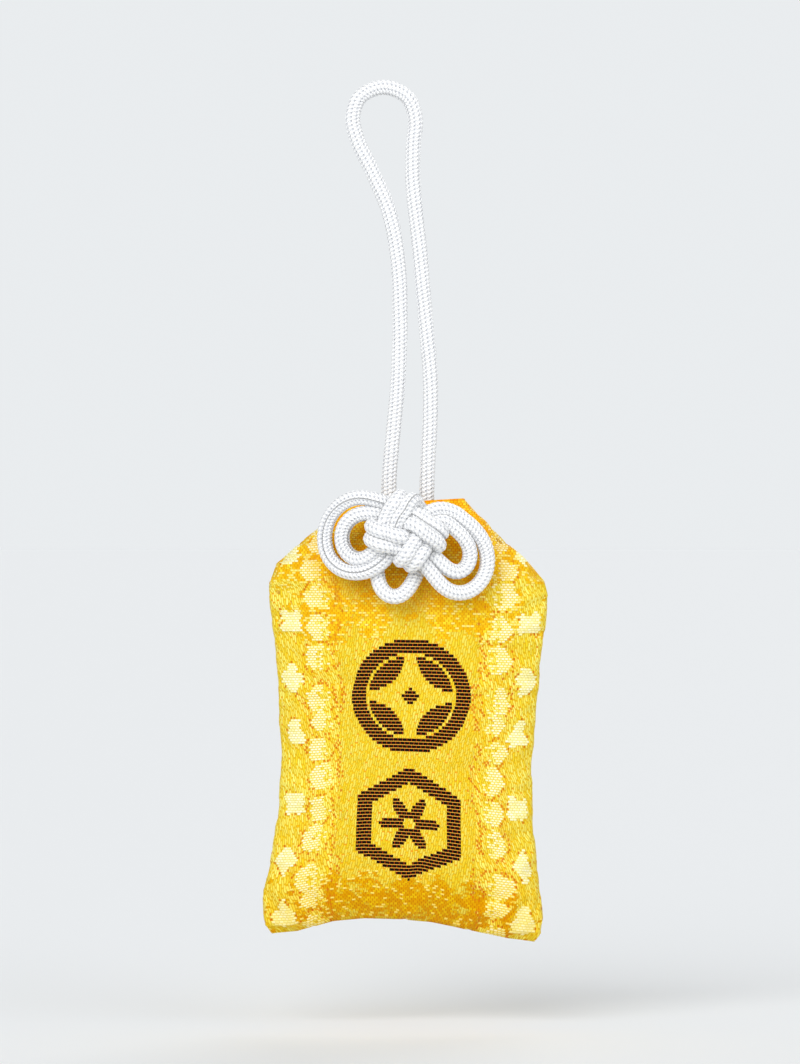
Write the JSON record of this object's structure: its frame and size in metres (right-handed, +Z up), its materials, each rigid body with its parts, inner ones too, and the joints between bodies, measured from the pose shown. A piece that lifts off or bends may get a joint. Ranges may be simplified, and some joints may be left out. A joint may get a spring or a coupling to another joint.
{
  "type": "omamori charm",
  "caption": "Brocade pouch charm with a padded body and tied mouth, a double wish knot on its front and a white braided cord loop that it hangs from.",
  "frame": {"origin": "inside the crown of the cord loop, where a hook or strap carries it", "axes": "+Z up along the hanging charm, the front with the knot faces -Y, +X to the viewer's right"},
  "size_m": [0.0396, 0.017, 0.1213],
  "materials": {
    "brocade": "satin woven brocade",
    "cord": "braided, soft sheen",
    "thread": "twisted",
    "wadding": "soft wadding",
    "grey_card": "matt",
    "white_paper": "matt",
    "pale_wood": "planed"
  },
  "bodies": {
    "loop": {"hanging_loop": "cord"},
    "pouch": {"brocade_pouch": "brocade", "left_seam_thread": "thread", "right_seam_thread": "thread", "wadding_pad": "wadding", "stiffening_card": "grey_card", "slip_wrapper": "white_paper", "inner_slip": "pale_wood", "left_cord_stem": "cord", "right_cord_stem": "cord"},
    "knot": {"wish_knot": "cord"}
  },
  "joints": [
    {"name": "loop_swing", "type": "hinge", "parent": "loop", "child": "pouch", "pos_m": [0.00335, 0, -0.0558], "axis": [1, 0, 0], "range_deg": [-50, 75]},
    {"name": "knot_lift", "type": "hinge", "parent": "pouch", "child": "knot", "pos_m": [0.00335, -0.00352, -0.05943], "axis": [-1, 0, 0], "range_deg": [0, 32]}
  ]
}
